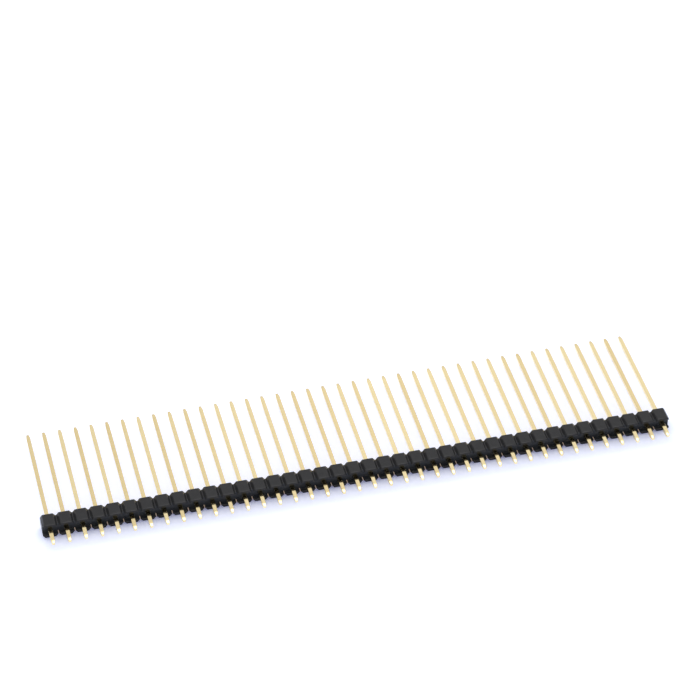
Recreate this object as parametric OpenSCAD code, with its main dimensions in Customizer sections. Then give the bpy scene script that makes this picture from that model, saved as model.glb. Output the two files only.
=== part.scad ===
// Straight pin header strip: one row of square pins held in a moulded housing
// that can be snapped to length between any two of its cells.
// It lies on one long side. Units are millimetres.
// X runs along the row, +Y along the pins towards their mating ends, +Z up.
// The origin is under the middle of the part, on the surface it lies on.

/* [Row] */
// Number of pins in the row
pin_count = 40; // [2:1:50]
// Distance from the middle of one pin to the middle of the next
pitch = 2.54; // [2.3:0.01:3.96]

/* [Housing] */
// Height of the housing along the pins
housing_height = 2.54; // [1.6:0.02:5.08]
// Width of the housing across the row
housing_width = 2.6; // [2.2:0.05:4]
// Width of the flat side of each cell, along the row
cell_flat = 1.68; // [0.8:0.02:1.7]
// Depth of the snap groove between two cells
groove_depth = 0.5; // [0.2:0.05:0.7]
// Width of the floor of each snap groove
groove_floor = 0.14; // [0.08:0.01:0.5]
// Chamfer on the long edges of both end faces of the housing
edge_chamfer = 0.03; // [0.02:0.01:0.2]

/* [Trench] */
// Depth of the trench around the solder tails
trench_depth = 0.65; // [0.2:0.05:1]
// Thickness of the lip above the trench
upper_lip = 0.4; // [0.25:0.01:0.6]
// Thickness of the lip below the trench, on the side the strip lies on
lower_lip = 0.6; // [0.25:0.01:0.75]

/* [Pins] */
// Side of the square wire
pin_side = 0.64; // [0.5:0.01:0.8]
// Whole length of a pin, from tip to tip
pin_length = 24.5; // [12:0.1:45]
// Length of the solder tail, from the housing's solder face to the tip
tail_length = 2.9; // [2:0.1:5]

/* [Pin tips] */
// Length of the taper at the mating end
mating_taper = 0.9; // [0.2:0.05:1.5]
// Side of the small square at the very end of the mating tip
mating_tip_side = 0.42; // [0.1:0.01:0.45]
// Length of the taper at the solder end
tail_taper = 0.9; // [0.2:0.05:1.2]
// Side of the small square at the very end of the solder tip
tail_tip_side = 0.42; // [0.1:0.01:0.45]

/* [Fits] */
// Gap left on each side of a pin in its hole; the pins are pressed in, so none
hole_clearance = 0; // [0:0.005:0.05]

/* [Hidden] */
// The part is centred along the pins, so both tips are half a pin from Y = 0.
tail_tip_y = -pin_length / 2;
mating_tip_y = pin_length / 2;
solder_face_y = tail_tip_y + tail_length;
mating_face_y = solder_face_y + housing_height;
// The pins stand in the middle of the trench, a little above the housing's own.
pin_axis_z = (lower_lip + housing_width - upper_lip) / 2;
cell_half_flat = cell_flat / 2;
cell_half_neck = (pitch - groove_floor) / 2;
// The strip is snapped off flush with the sides of its two end cells.
row_length = (pin_count - 1) * pitch + 2 * cell_half_neck;
hole_side = pin_side + 2 * hole_clearance;
// Cutters run this far past the faces they open.
overrun = 1;

// pin_01, pin_02 and so on, counted from the -X end of the row.
function pin_name(i) = str("pin_", i < 10 ? "0" : "", i);

// Middle of pin i along the row.
function pin_x(i) = (i - (pin_count + 1) / 2) * pitch;

// Outline of one cell seen along the pins: a square with its four corners cut
// off. Its left and right sides stop half a groove floor short of half a pitch.
module cell_outline() {
    polygon([
        [-cell_half_flat, 0],
        [cell_half_flat, 0],
        [cell_half_neck, groove_depth],
        [cell_half_neck, housing_width - groove_depth],
        [cell_half_flat, housing_width],
        [-cell_half_flat, housing_width],
        [-cell_half_neck, housing_width - groove_depth],
        [-cell_half_neck, groove_depth]
    ]);
}

// Outline of the whole row: the cells on one web that fills between their ends.
module row_outline() {
    for (i = [1:pin_count]) translate([pin_x(i), 0]) cell_outline();
    translate([-row_length / 2, groove_depth])
        square([row_length, housing_width - 2 * groove_depth]);
}

// The row outline pushed along the pins, from the mating to the solder face.
module row_block() {
    translate([0, mating_face_y, 0])
        rotate([90, 0, 0])
            linear_extrude(housing_height) row_outline();
}

// Section across the row with the four long edges broken, run along the row.
module chamfered_envelope() {
    translate([-row_length / 2 - overrun, 0, 0])
        rotate([90, 0, 90])
            linear_extrude(row_length + 2 * overrun)
                polygon([
                    [solder_face_y + edge_chamfer, 0],
                    [mating_face_y - edge_chamfer, 0],
                    [mating_face_y, edge_chamfer],
                    [mating_face_y, housing_width - edge_chamfer],
                    [mating_face_y - edge_chamfer, housing_width],
                    [solder_face_y + edge_chamfer, housing_width],
                    [solder_face_y, housing_width - edge_chamfer],
                    [solder_face_y, edge_chamfer]
                ]);
}

// Trench open towards the board, cut through every cell and web along the row.
module trench_cutter() {
    translate([-row_length / 2 - overrun, solder_face_y - overrun, lower_lip])
        cube([row_length + 2 * overrun, trench_depth + overrun, housing_width - upper_lip - lower_lip]);
}

// Square hole from the trench floor to the mating face for pin i.
module pin_hole_cutter(i) {
    translate([pin_x(i) - hole_side / 2, solder_face_y - overrun, pin_axis_z - hole_side / 2])
        cube([hole_side, housing_height + 2 * overrun, hole_side]);
}

module housing() {
    color([0.09, 0.09, 0.1])
        difference() {
            intersection() {
                row_block();
                chamfered_envelope();
            }
            trench_cutter();
            for (i = [1:pin_count]) pin_hole_cutter(i);
        }
}

// Long side of a pin as an outline: straight wire with a taper at each end.
module pin_outline() {
    polygon([
        [-pin_side / 2, tail_tip_y + tail_taper],
        [-tail_tip_side / 2, tail_tip_y],
        [tail_tip_side / 2, tail_tip_y],
        [pin_side / 2, tail_tip_y + tail_taper],
        [pin_side / 2, mating_tip_y - mating_taper],
        [mating_tip_side / 2, mating_tip_y],
        [-mating_tip_side / 2, mating_tip_y],
        [-pin_side / 2, mating_tip_y - mating_taper]
    ]);
}

// The same outline seen from above and from the side gives the square wire
// with four equal facets coined on each tip.
module header_pin(i) {
    color([0.83, 0.68, 0.38])
        translate([pin_x(i), 0, pin_axis_z])
            intersection() {
                translate([0, 0, -pin_side / 2])
                    linear_extrude(pin_side) pin_outline();
                translate([-pin_side / 2, 0, 0])
                    rotate([0, 90, 0])
                        linear_extrude(pin_side) pin_outline();
            }
}

housing();
for (i = [1:pin_count])
    header_pin(i);
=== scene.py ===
# %% [markdown]
# A straight pin header strip: forty square gold-plated pins pressed through one
# black moulding that snaps apart between its cells. It lies on one long side on
# a white table, with its solder tails towards us and the long mating pins
# pointing away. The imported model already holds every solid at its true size, so
# this lesson measures those solids first and dresses each one in a finer mesh.

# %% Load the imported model
from math import cos, radians, sin

import bmesh
import bpy
from mathutils import Matrix, Vector


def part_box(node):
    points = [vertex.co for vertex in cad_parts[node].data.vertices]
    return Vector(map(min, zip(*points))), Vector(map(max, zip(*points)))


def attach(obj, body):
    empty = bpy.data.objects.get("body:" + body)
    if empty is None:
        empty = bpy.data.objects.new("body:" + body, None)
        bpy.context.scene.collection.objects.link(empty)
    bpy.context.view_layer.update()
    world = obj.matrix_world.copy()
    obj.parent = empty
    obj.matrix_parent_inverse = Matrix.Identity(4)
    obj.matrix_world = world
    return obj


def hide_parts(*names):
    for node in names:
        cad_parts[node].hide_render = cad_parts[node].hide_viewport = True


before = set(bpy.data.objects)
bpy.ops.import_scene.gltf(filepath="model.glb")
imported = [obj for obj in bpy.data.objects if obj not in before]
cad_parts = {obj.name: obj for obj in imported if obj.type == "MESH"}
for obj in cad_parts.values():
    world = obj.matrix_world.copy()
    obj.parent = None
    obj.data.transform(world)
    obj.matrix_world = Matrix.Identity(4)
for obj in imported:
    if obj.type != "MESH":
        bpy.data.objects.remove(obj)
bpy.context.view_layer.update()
MM = 0.001

# %% [markdown]
# The pins are numbered along the row. Sizes could be typed in again, but then
# they might disagree with the model, so they are read from its boxes. The pins'
# boxes give the pitch, the wire's thickness and both tips. The housing's box
# gives its faces and how far its end cells reach past the end pins.

# %% Measure the row
pin_nodes = sorted(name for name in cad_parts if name.startswith("pin_"))
pin_boxes = [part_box(name) for name in pin_nodes]
pin_middles = [(low.x + high.x) / 2 for low, high in pin_boxes]
pitch = pin_middles[1] - pin_middles[0]
first_low, first_high = pin_boxes[0]
wire = first_high.x - first_low.x
tail_tip = first_low.y
mating_tip = first_high.y
axis_z = (first_low.z + first_high.z) / 2
housing_low, housing_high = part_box("housing")
solder_face = housing_low.y
mating_face = housing_high.y
width = housing_high.z - housing_low.z
cell_half = housing_high.x - pin_middles[-1]
print(f"{len(pin_nodes)} pins, pitch {pitch / MM:.2f} mm, wire {wire / MM:.2f} mm")
print(f"housing {width / MM:.2f} mm wide, {(mating_face - solder_face) / MM:.2f} mm high")

# %% [markdown]
# Every piece of the strip is a closed solid with flat faces and narrow rounded
# edges. Such a mesh can be shaded flat, which shows the rounds as facets, or
# smooth, which bends the light on the flat faces too. Smooth shading with
# weighted normals gives both: the large faces keep their own direction and only
# the narrow strips between them shade round, as on a real moulding.

# %% Helper: turn a bmesh into a piece
LARGE_FACES_LEAD = 80


def make_piece(name, bm, material):
    """Turn one bmesh into an object at the origin, with its material."""
    bmesh.ops.recalc_face_normals(bm, faces=bm.faces)
    mesh = bpy.data.meshes.new(name)
    bm.to_mesh(mesh)
    bm.free()
    mesh.shade_smooth()
    mesh.materials.append(material)
    piece = bpy.data.objects.new(name, mesh)
    bpy.context.scene.collection.objects.link(piece)
    weighted = piece.modifiers.new("flat faces stay flat", "WEIGHTED_NORMAL")
    weighted.weight = LARGE_FACES_LEAD
    return piece


# %% [markdown]
# Extruding and cutting are the two moves that shape all the pieces. A pushed
# face leaves its old copy behind, which would end up as a wall inside the
# solid, so the old copy is deleted. Only the first push of a flat sheet keeps
# it, because there it is the solid's own back face.

# %% Helpers: push and cut faces
def middle(face):
    return face.calc_center_median()


def push_faces(bm, faces, shift, keep_start=False):
    """Push some faces along and return them in their new place."""
    made = bmesh.ops.extrude_face_region(bm, geom=list(faces))["geom"]
    moved = [v for v in made if isinstance(v, bmesh.types.BMVert)]
    bmesh.ops.translate(bm, verts=moved, vec=shift)
    if not keep_start:
        bmesh.ops.delete(bm, geom=list(faces), context="FACES_ONLY")
    return [f for f in made if isinstance(f, bmesh.types.BMFace)]


def cut_faces(bm, faces, point, normal):
    """Cut some flat faces along a line and return all their parts."""
    geom = list({v for f in faces for v in f.verts} | {e for f in faces for e in f.edges})
    cut = bmesh.ops.bisect_plane(bm, geom=geom + list(faces), plane_co=point, plane_no=normal)
    return [f for f in cut["geom"] if isinstance(f, bmesh.types.BMFace)]


# %% [markdown]
# Materials are built from nodes. Clicking them together is easy to follow but
# slow to repeat, so a short helper adds one node at a time: a plain value goes
# into its socket and another node's output is linked to it.

# %% Helpers: a material and one node
def new_material(name):
    material = bpy.data.materials.new(name)
    material.use_nodes = True
    material.node_tree.nodes.clear()
    return material, material.node_tree


def add(tree, kind, inputs=None, **settings):
    """Add one node, set its plain values and link the rest."""
    node = tree.nodes.new(kind)
    for key, value in settings.items():
        setattr(node, key, value)
    for key, value in (inputs or {}).items():
        socket = node.inputs[key]
        if isinstance(value, bpy.types.NodeSocket):
            tree.links.new(value, socket)
        else:
            socket.default_value = value
    return node


# %% [markdown]
# A few nodes come back again and again, so they get helpers of their own. All
# patterns follow the object's own coordinates. An image could do the same work,
# but it would blur up close, and the meshes would have to be unwrapped first.

# %% Helpers: patterns and masks
def object_place(tree):
    return add(tree, "ShaderNodeTexCoord").outputs["Object"]


def axes_of(tree, place):
    return add(tree, "ShaderNodeSeparateXYZ", {"Vector": place}).outputs


def calculate(tree, operation, *values):
    return add(tree, "ShaderNodeMath", dict(enumerate(values)), operation=operation).outputs[0]


def spread(tree, value, start, end, low=0.0, high=1.0):
    """Turn a value between start and end into one between low and high."""
    node = add(tree, "ShaderNodeMapRange", {
        "Value": value, "From Min": start, "From Max": end, "To Min": low, "To Max": high})
    return node.outputs["Result"]


def inside(tree, value, start, end, soft):
    """One between start and end, and nothing outside them."""
    rise = spread(tree, value, start, start + soft)
    fall = spread(tree, value, end - soft, end, 1.0, 0.0)
    return calculate(tree, "MULTIPLY", rise, fall)


def blend_colours(tree, factor, first, second):
    colours = {"Factor": factor, "A": first, "B": second}
    return add(tree, "ShaderNodeMix", colours, data_type="RGBA").outputs["Result"]


# Most of a noise pattern's values lie between these two.
NOISE_LOW, NOISE_HIGH = 0.3, 0.7


def noise(tree, place, scale, detail, roughness=0.5):
    """A cloudy grey pattern with about this many clouds to the metre."""
    values = {"Vector": place, "Scale": scale, "Detail": detail, "Roughness": roughness}
    return add(tree, "ShaderNodeTexNoise", values).outputs["Fac"]


def bumps(tree, height, strength, depth):
    values = {"Height": height, "Strength": strength, "Distance": depth}
    return add(tree, "ShaderNodeBump", values).outputs["Normal"]


# %% [markdown]
# The housing is one moulding, so it becomes one mesh. Seen along the pins, each
# of its cells is a square with the corners cut off, and the cut corners of two
# neighbours make the groove where the strip snaps. A trench runs along the
# solder side. It leaves a thin lip above the tails and a thicker one below.
# The boxes of the model can't tell these inner sizes, so they are typed in.

# %% Sizes of a cell
cell_flat = 1.68 * MM
groove_depth = 0.5 * MM
upper_lip = 0.4 * MM
lower_lip = 0.6 * MM
trench_floor = solder_face + 0.65 * MM
nose_length = 0.24 * MM
nose_drop = 0.032 * MM
hole_gap = 0.015 * MM
half_pitch = pitch / 2
# Points that lie closer together than a hair count as one place.
hair = 0.001 * MM
print(f"grooves {(pitch - cell_flat) / MM:.2f} mm wide between the cells")

# %% [markdown]
# Hardly any light gets into the trench, yet the floor of a real one still
# shows. An extra lamp could reach it, but would also light the rest. So that
# light is painted in: the skin of the trench is taken a little paler, through a
# mask with soft edges.

# %% Mask of the trench
trench_blur = 0.1 * MM


def in_trench(tree, place):
    """One on the skin of the trench, and nothing outside it."""
    axes = axes_of(tree, place)
    deep = inside(
        tree, axes["Y"], solder_face + trench_blur, trench_floor + trench_blur, trench_blur)
    between_lips = inside(
        tree, axes["Z"], lower_lip - trench_blur, width - upper_lip + trench_blur, trench_blur)
    return calculate(tree, "MULTIPLY", deep, between_lips)


print(f"the trench is {(trench_floor - solder_face) / MM:.2f} mm deep")

# %% [markdown]
# Such housings are moulded in black plastic with a satin skin. One even black
# looks like a hole in the picture, so a slow cloud varies the black a little
# and a fine grain varies the gloss and roughens the surface slightly. The
# index of refraction is set rather low, because a satin skin shines less than
# a polished one.

# %% Black moulding plastic
DARK_BLACK = (0.0222, 0.0216, 0.0213, 1)
SOFT_BLACK = (0.0272, 0.0266, 0.026, 1)
PAINTED_TRENCH_LIGHT = (0.035, 0.038, 0.042, 1)
SATIN_ROUGHNESS = (0.20, 0.28)
clouds_per_metre, grains_per_metre = 900.0, 14000.0
grain_depth = 0.02 * MM


def black_plastic():
    material, tree = new_material("black_moulding")
    place = object_place(tree)
    cloud = noise(tree, place, clouds_per_metre, detail=4.0, roughness=0.6)
    grain = noise(tree, place, grains_per_metre, detail=3.0, roughness=0.7)
    black = blend_colours(tree, spread(tree, cloud, NOISE_LOW, NOISE_HIGH), DARK_BLACK, SOFT_BLACK)
    # Painted light: the skin of the trench is a little paler, where too little light reaches.
    black = blend_colours(tree, in_trench(tree, place), black, PAINTED_TRENCH_LIGHT)
    shader = add(tree, "ShaderNodeBsdfPrincipled", {
        "Base Color": black,
        "IOR": 1.3,
        "Roughness": spread(tree, grain, NOISE_LOW, NOISE_HIGH, *SATIN_ROUGHNESS),
        "Normal": bumps(tree, grain, strength=0.12, depth=grain_depth)})
    add(tree, "ShaderNodeOutputMaterial", {"Surface": shader.outputs["BSDF"]})
    return material


moulding = black_plastic()
print("made material", moulding.name)

# %% [markdown]
# Plating never comes out quite equal. Forty materials could give every pin its
# own gold, but one material can do it too: a random number for each pin's place
# in the row makes some pins paler and others deeper in colour, and a slow cloud
# varies the gold along each pin.

# %% Colours of the gold
DEEP_GOLD = (0.885, 0.72, 0.395, 1)
PALE_GOLD = (0.975, 0.825, 0.485, 1)
tones_per_metre = 260.0
cloud_share = 0.6


def number_of_each_pin(tree, place):
    """One random number for each pitch along the row, and so for each pin."""
    pitches = calculate(tree, "DIVIDE", axes_of(tree, place)["X"], pitch)
    whole = calculate(tree, "FLOOR", pitches)
    return add(tree, "ShaderNodeTexWhiteNoise", {"W": whole}, noise_dimensions="1D").outputs["Value"]


def gold_colour(tree, place):
    cloud = noise(tree, place, tones_per_metre, detail=2.0)
    tone = calculate(tree, "MULTIPLY_ADD", cloud, cloud_share, number_of_each_pin(tree, place))
    paleness = spread(tree, tone, cloud_share / 2, 1 + cloud_share / 2)
    return blend_colours(tree, paleness, DEEP_GOLD, PALE_GOLD)


# %% [markdown]
# The pins are drawn square wire with thin bright gold plating. Drawing leaves
# very fine lines along the wire, which stretch its reflections. They could be
# modelled, but at this size they only show in the gloss, so a noise pattern is
# stretched along the pins and drives the roughness and a faint bump.

# %% Gold plating
BRIGHT_ROUGHNESS = (0.10, 0.16)
STRETCHED_ALONG_Y = (1.0, 0.03, 1.0)
lines_per_metre = 16000.0
line_depth = 0.01 * MM


def gold_plating():
    material, tree = new_material("gold_plating")
    place = object_place(tree)
    drawn = add(tree, "ShaderNodeMapping", {"Vector": place, "Scale": STRETCHED_ALONG_Y})
    lines = noise(tree, drawn.outputs["Vector"], lines_per_metre, detail=3.0)
    shader = add(tree, "ShaderNodeBsdfPrincipled", {
        "Base Color": gold_colour(tree, place),
        "Metallic": 1.0,
        "Roughness": spread(tree, lines, NOISE_LOW, NOISE_HIGH, *BRIGHT_ROUGHNESS),
        "Normal": bumps(tree, lines, strength=0.1, depth=line_depth)})
    add(tree, "ShaderNodeOutputMaterial", {"Surface": shader.outputs["BSDF"]})
    return material


plating = gold_plating()
print("made material", plating.name)

# %% [markdown]
# A cell could be cut from a block with booleans, but their leftovers spoil the
# rounded edges. Instead its eight-sided outline is drawn at the trench floor
# and cut by straight lines into a strip for each lip and a frame of four parts
# round the pin's square hole. The hole's own face is removed before anything
# is pushed, so the hole runs right through.

# %% Outline of a cell, cut round its hole
def cell_outline(bm, x):
    """Eight-sided face of one cell at the trench floor, around x."""
    flat = cell_flat / 2
    corners = [
        (-flat, 0), (flat, 0), (cell_half, groove_depth), (cell_half, width - groove_depth),
        (flat, width), (-flat, width), (-cell_half, width - groove_depth), (-cell_half, groove_depth),
    ]
    return bm.faces.new([bm.verts.new((x + cx, trench_floor, cz)) for cx, cz in corners])


def cut_outline(bm, x):
    """Return the faces of the two lips and of the frame round the hole."""
    hole = wire / 2 + hole_gap
    strips = cut_faces(bm, [cell_outline(bm, x)], (x, 0, lower_lip), (0, 0, 1))
    strips = cut_faces(bm, strips, (x, 0, width - upper_lip), (0, 0, 1))
    strips.sort(key=lambda f: middle(f).z)
    columns = [strips[1]]
    for side in (-hole, hole):
        columns = cut_faces(bm, columns, (x + side, 0, 0), (1, 0, 0))
    columns.sort(key=lambda f: abs(middle(f).x - x))
    core = [columns[0]]
    for side in (-hole, hole):
        core = cut_faces(bm, core, (x, 0, axis_z + side), (0, 0, 1))
    core.sort(key=lambda f: abs(middle(f).z - axis_z))
    bmesh.ops.delete(bm, geom=[core[0]], context="FACES_ONLY")
    return [strips[0], strips[2]], columns[1:] + core[1:]


# %% [markdown]
# Pushing all the faces back to the mating face gives the block. The two lips
# are pushed the other way, to the solder face. Their last stretch slopes
# inwards, because a moulded lip thins a little towards its mouth, and that slope
# catches the light as a fine bright line. The cells are joined by short stubs,
# which make a thin web between neighbours.

# %% One cell
def add_lips(bm, lip_faces):
    """Push the lips to the solder face and slope the outside of their noses."""
    lips = push_faces(bm, lip_faces, (0, solder_face + nose_length - trench_floor, 0))
    noses = push_faces(bm, lips, (0, -nose_length, 0))
    for v in {v for f in noses for v in f.verts}:
        if v.co.z < hair:
            v.co.z += nose_drop
        elif v.co.z > width - hair:
            v.co.z -= nose_drop


def add_web(bm, x, side):
    """Push one side wall of the cell out to half a pitch, open at its end."""
    wall_middle = Vector((x + side * cell_half, (trench_floor + mating_face) / 2, width / 2))
    wall = min(bm.faces, key=lambda f: (middle(f) - wall_middle).length)
    stub = push_faces(bm, [wall], (side * (half_pitch - cell_half), 0, 0))
    bmesh.ops.delete(bm, geom=stub, context="FACES_ONLY")


def make_cell(x, joined_sides):
    bm = bmesh.new()
    lip_faces, frame_faces = cut_outline(bm, x)
    push_faces(bm, lip_faces + frame_faces, (0, mating_face - trench_floor, 0), keep_start=True)
    add_lips(bm, lip_faces)
    for side in joined_sides:
        add_web(bm, x, side)
    return bm


# %% [markdown]
# The row is forty such cells side by side. An Array modifier could repeat one
# cell, but the two end cells have a closed side where the strip was snapped
# off, so a loop makes each cell with the webs that it needs. Where the stubs of
# two neighbours meet, their doubled points are merged into one closed solid.

# %% The whole row
def row_of_cells():
    row = bmesh.new()
    last = len(pin_middles) - 1
    for i, x in enumerate(pin_middles):
        cell = make_cell(x, [side for side in (-1, 1) if 0 <= i + side <= last])
        part = bpy.data.meshes.new("cell")
        cell.to_mesh(part)
        cell.free()
        row.from_mesh(part)
        bpy.data.meshes.remove(part)
    bmesh.ops.remove_doubles(row, verts=row.verts, dist=hair)
    bmesh.ops.recalc_face_normals(row, faces=row.faces)
    return row


row = row_of_cells()
open_edges = [e for e in row.edges if not e.is_manifold]
print("housing faces:", len(row.faces), "open edges:", len(open_edges))

# %% [markdown]
# Moulded edges are never quite sharp, and without a round they catch no light.
# A Bevel modifier rounds them all at once. Its weights, kept on the edges, give
# the inner corners and the mouths of the holes a smaller round than the outer
# edges. Edges between two parts of one flat face keep no weight at all. The
# narrowest face is the side of the lower lip, which has to fit two rounds.

# %% Round the housing's edges
narrowest_face = lower_lip - groove_depth
a_little_under_half = 0.48
edge_round = a_little_under_half * narrowest_face
OUTER, INNER = 1.0, 0.4
FLAT_ANGLE = radians(10)
weights = row.edges.layers.float.new("bevel_weight_edge")
for e in row.edges:
    at_hole = all(abs(v.co.z - axis_z) < wire for v in e.verts)
    if e.calc_face_angle() > FLAT_ANGLE:
        e[weights] = OUTER if e.is_convex and not at_hole else INNER

housing = make_piece("moulded_housing", row, moulding)
rounding = housing.modifiers.new("rounded edges", "BEVEL")
rounding.limit_method = "WEIGHT"
rounding.width = edge_round
rounding.segments = 2
rounding.profile = 0.5
# The edges are rounded first, and the normals are weighted on the result.
housing.modifiers.move(len(housing.modifiers) - 1, 0)
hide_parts("housing")
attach(housing, "root")
print(f"made {housing.name}, edges rounded by {edge_round / MM:.3f} mm")

# %% [markdown]
# A pin is one length of square wire, pressed thinner at both tips so that it
# finds its hole. It starts as the small square at the solder tip and is pushed
# along from station to station. It grows to the full wire and shrinks again,
# which keeps it one closed mesh with four long sides.

# %% Sizes of a pin
taper = 0.9 * MM
tip_side = 0.42 * MM
wire_round = 0.05 * MM
tip_round = 0.07 * MM
stations = [(tail_tip + taper, wire), (mating_tip - taper, wire), (mating_tip, tip_side)]
print(f"pins {(mating_tip - tail_tip) / MM:.1f} mm long, tips {tip_side / MM:.2f} mm square")


def square_face(bm, x):
    half = tip_side / 2
    corners = [(-half, -half), (-half, half), (half, half), (half, -half)]
    return bm.faces.new([bm.verts.new((x + u, tail_tip, axis_z + v)) for u, v in corners])


# %% [markdown]
# The drawn wire has slightly round long edges and the tips have rounder ones.
# Here the rounds are part of the mesh, because the bevel operator can be given
# exactly the edges it should work on: first the long ones, then the outlines
# of the two end squares.

# %% One pin
def bevel_edges(bm, edges, radius):
    bmesh.ops.bevel(
        bm, geom=edges, affect="EDGES", offset=radius, offset_type="OFFSET",
        segments=3, profile=0.5, material=-1, clamp_overlap=True)


def round_pin(bm):
    long_edges = [e for e in bm.edges if abs(e.verts[0].co.y - e.verts[1].co.y) > tip_side]
    bevel_edges(bm, long_edges, wire_round)
    for tip in (tail_tip, mating_tip):
        outline = [
            e for e in bm.edges
            if all(abs(v.co.y - tip) < hair for v in e.verts) and e.calc_face_angle(0) > FLAT_ANGLE]
        bevel_edges(bm, outline, tip_round)


def make_pin(name, x):
    bm = bmesh.new()
    end = [square_face(bm, x)]
    side = tip_side
    for y, next_side in stations:
        first_push = middle(end[0]).y < tail_tip + hair
        end = push_faces(bm, end, (0, y - middle(end[0]).y, 0), keep_start=first_push)
        grow = next_side / side
        bmesh.ops.scale(
            bm, vec=(grow, 1, grow), verts=end[0].verts, space=Matrix.Translation((-x, 0, -axis_z)))
        side = next_side
    bmesh.ops.recalc_face_normals(bm, faces=bm.faces)
    round_pin(bm)
    return make_piece(name, bm, plating)


# %% [markdown]
# The forty pins are all alike. One mesh could be shared and moved along the row,
# but every piece here keeps its origin at the part's own, so a loop makes each
# pin where it stands. It takes the place of the numbered solid of its pin.

# %% All the pins
for node, x in zip(pin_nodes, pin_middles):
    pin = make_pin(node.replace("pin", "gold_pin"), x)
    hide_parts(node)
    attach(pin, "root")
print("made", len(pin_nodes), "pins of", len(pin.data.polygons), "faces each")

# %% [markdown]
# The table is one large flat sheet just under the part. It could be a thick
# slab, but only its top is ever seen.

# %% Table
table_half = 2.0
table_drop = 0.01 * MM
bm = bmesh.new()
bmesh.ops.create_grid(bm, x_segments=1, y_segments=1, size=table_half)
bmesh.ops.translate(bm, verts=bm.verts, vec=(0, 0, -table_drop))
sheet = bpy.data.meshes.new("table_top")
bm.to_mesh(sheet)
bm.free()
table_top = bpy.data.objects.new("table_top", sheet)
bpy.context.scene.collection.objects.link(table_top)
print("table", 2 * table_half, "m square")

# %% [markdown]
# The shadow on a real white table is never black, because light from the room
# and from the part itself falls into it. More bounces of light could show that,
# but a faint glow of the table is easier to set: it is cool round the strip and
# warm deep under the housing, where light comes back off the gold.

# %% Glow in the shadow
COOL_SHADOW = (0.12, 0.13, 0.245, 1)
WARM_SHADOW = (0.25, 0.18, 0.13, 1)
warm_start = solder_face + 0.3 * MM
warm_blur = 0.5 * MM


def under_housing(tree, place):
    axes = axes_of(tree, place)
    across = inside(tree, axes["X"], housing_low.x, housing_high.x, warm_blur)
    along = inside(tree, axes["Y"], warm_start, mating_face, warm_blur)
    return calculate(tree, "MULTIPLY", across, along)


def shader_of(tree, kind, colour, **values):
    """One simple shader of one colour, such as a diffuse or a glowing one."""
    return add(tree, kind, {"Color": colour, **values}).outputs[0]


def shadow_glow(tree, place):
    tint = blend_colours(tree, under_housing(tree, place), COOL_SHADOW, WARM_SHADOW)
    return shader_of(tree, "ShaderNodeEmission", tint, Strength=1.0)


# %% [markdown]
# The table has two jobs. It lights the part from below like a sheet of white
# card, and the camera and the shiny pins see it as a bright white ground with a
# soft shadow. One material for both would make the ground too dark or the light
# from below too strong, so Light Path tells these rays apart. Far from the part
# the ground fades to plain white, so no horizon shows from a low angle.

# %% White table material
CARD = (0.86, 0.86, 0.86, 1)
GROUND = (0.95, 0.98, 1.0, 1)
WHITE = (1, 1, 1, 1)
fade_start, fade_end = 80 * MM, 250 * MM


def seen_by(tree, *kinds):
    """One for rays of any of these kinds, and nothing for the others."""
    path = add(tree, "ShaderNodeLightPath").outputs
    seen = path[kinds[0]]
    for kind in kinds[1:]:
        seen = calculate(tree, "MAXIMUM", seen, path[kind])
    return seen


def mix(tree, factor, first, second):
    return add(tree, "ShaderNodeMixShader", {0: factor, 1: first, 2: second}).outputs[0]


def white_table():
    material, tree = new_material("white_table")
    place = object_place(tree)
    lit = shader_of(tree, "ShaderNodeBsdfDiffuse", GROUND)
    ground = add(tree, "ShaderNodeAddShader", {0: lit, 1: shadow_glow(tree, place)}).outputs[0]
    far_white = shader_of(tree, "ShaderNodeEmission", WHITE, Strength=1.0)
    reach = add(tree, "ShaderNodeVectorMath", {0: place}, operation="LENGTH").outputs["Value"]
    shown = mix(tree, spread(tree, reach, fade_start, fade_end), ground, far_white)
    card = shader_of(tree, "ShaderNodeBsdfDiffuse", CARD)
    seen = seen_by(tree, "Is Camera Ray", "Is Glossy Ray", "Is Transmission Ray")
    add(tree, "ShaderNodeOutputMaterial", {"Surface": mix(tree, seen, card, shown)})
    return material


sheet.materials.append(white_table())
print("made material", sheet.materials[0].name)

# %% [markdown]
# Polished gold shows what it reflects, so it gets a studio to mirror: a white
# wall that brightens a little towards one side and towards the ceiling, and a
# round bright panel high above, a little behind the strip, which puts a glint
# on the pressed tips and the rims. A picture of a real studio could be wrapped
# round the scene instead, but a few grey levels do and are easier to change.

# %% Studio for the gold to mirror
WALL_BY_HEIGHT = [(0.0, 0.75), (0.5, 0.80), (0.65, 0.86), (0.74, 0.86), (0.85, 1.0)]
WALL_BY_SIDE = [(0.0, 0.93), (0.12, 0.95), (0.19, 1.09), (0.27, 1.03)]
TO_THE_PANEL = Vector((0.12, 0.32, 0.94)).normalized()
panel_edge, panel_full = radians(15), radians(10)
panel_level = 1.9


def level_ramp(tree, value, steps):
    """Turn a value into grey levels, with a straight run between the steps."""
    node = add(tree, "ShaderNodeValToRGB", {"Fac": value})
    ramp = node.color_ramp
    anywhere = 0.5
    while len(ramp.elements) < len(steps):
        ramp.elements.new(anywhere)
    for element, (place, level) in zip(ramp.elements, steps):
        element.position = place
        element.color = (level, level, level, 1)
    return node.outputs["Color"]


def mirrored_studio(tree):
    way = object_place(tree)
    axes = axes_of(tree, way)
    nearness = add(tree, "ShaderNodeVectorMath", {0: way, 1: TO_THE_PANEL}, operation="DOT_PRODUCT")
    panel = spread(tree, nearness.outputs["Value"], cos(panel_edge), cos(panel_full), 0.0, panel_level)
    by_side = level_ramp(tree, axes["X"], WALL_BY_SIDE)
    by_height = level_ramp(tree, axes["Z"], WALL_BY_HEIGHT)
    strength = calculate(tree, "ADD", by_side, panel)
    return shader_of(tree, "ShaderNodeBackground", by_height, Strength=strength)


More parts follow.
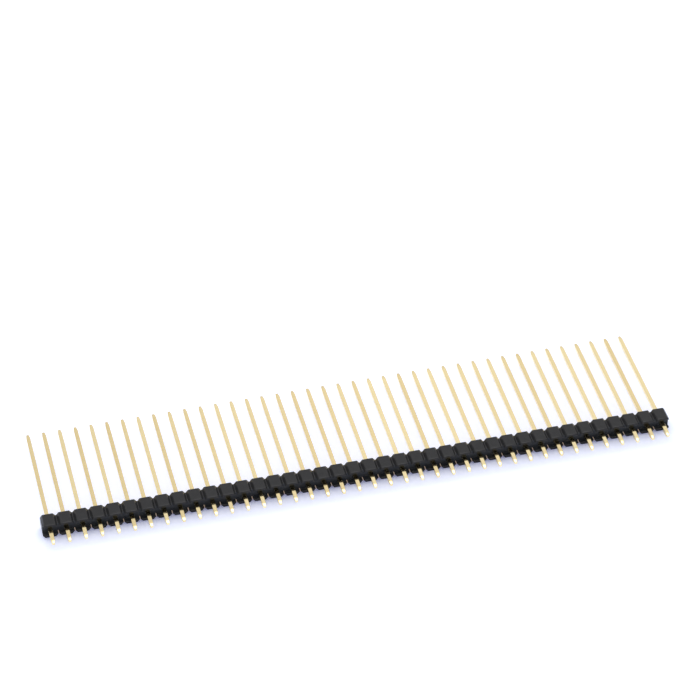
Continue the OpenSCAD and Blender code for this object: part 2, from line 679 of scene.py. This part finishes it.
# %% [markdown]
# The surroundings do three jobs. The camera sees plain white, the gold mirrors
# the studio, and matt surfaces get a soft, slightly blue light from all sides.
# One background can't do all three well, so Light Path tells the rays apart.

# %% Surroundings
SOFT_BLUE = (0.79, 0.83, 1.0, 1)
soft_level = 0.62
world = bpy.data.worlds.new("white_studio")
bpy.context.scene.world = world
world.use_nodes = True
tree = world.node_tree
tree.nodes.clear()
soft = shader_of(tree, "ShaderNodeBackground", SOFT_BLUE, Strength=soft_level)
plain = shader_of(tree, "ShaderNodeBackground", WHITE, Strength=1.0)
lighting = mix(tree, seen_by(tree, "Is Glossy Ray"), soft, mirrored_studio(tree))
lighting = mix(tree, seen_by(tree, "Is Camera Ray", "Is Transmission Ray"), lighting, plain)
add(tree, "ShaderNodeOutputWorld", {"Surface": lighting})
print("studio has", len(tree.nodes), "nodes")

# %% [markdown]
# One large soft lamp hangs above and behind the strip. It lights the flat tops,
# leaves the trench dark and throws the short soft shadow forwards. A sun lamp
# would throw a hard shadow instead. The lamp is hidden from reflections, since
# the pins already have the studio to mirror.

# %% Overhead lamp
lamp_place = Vector((0, 0.63, 1.36))
lamp_size = (3.0, 1.3)
lamp_watts = 25.0
light = bpy.data.lights.new("overhead", "AREA")
light.shape = "RECTANGLE"
light.size, light.size_y = lamp_size
light.energy = lamp_watts
lamp = bpy.data.objects.new("overhead", light)
bpy.context.scene.collection.objects.link(lamp)
lamp.location = lamp_place
lamp.rotation_euler = (-lamp_place).to_track_quat("-Z", "Y").to_euler()
lamp.visible_glossy = False
print("lamp", round(lamp_place.length, 2), "m away")

# %% [markdown]
# The camera stands in front, a little to the left and high up, and looks with a
# long lens, so the row narrows only slightly towards its far end. It is rolled
# by less than a degree. A Track To constraint could aim it, but would leave the
# roll out. So its place and its three axes are worked out from those angles and
# the distance to the point that it looks at, on the table beyond the row.

# %% Camera
azimuth, elevation, roll = radians(-15.0226), radians(41.9882), radians(0.8306)
distance = 440.12 * MM
looked_at = Vector((5.753, 21.320, 0.0)) * MM
sensor_width, focal_length = 36.0, 136.584
back = Vector((sin(azimuth) * cos(elevation), -cos(azimuth) * cos(elevation), sin(elevation)))
right = Vector((0, 0, 1)).cross(back).normalized()
up = back.cross(right)
turned_right = right * cos(roll) + up * sin(roll)
turned_up = up * cos(roll) - right * sin(roll)
lens = bpy.data.cameras.new("camera")
lens.sensor_width = sensor_width
lens.lens = focal_length
lens.clip_start = 10 * MM
camera = bpy.data.objects.new("camera", lens)
bpy.context.scene.collection.objects.link(camera)
turn = Matrix((turned_right, turned_up, back)).transposed().to_4x4()
camera.matrix_world = Matrix.Translation(looked_at + back * distance) @ turn
bpy.context.scene.camera = camera
bpy.context.scene.view_settings.view_transform = "Standard"
print("camera at", [round(v / MM) for v in camera.matrix_world.translation], "mm")

# %% [markdown]
# Last, the view layer is brought up to date.

# %% Finish
bpy.context.view_layer.update()
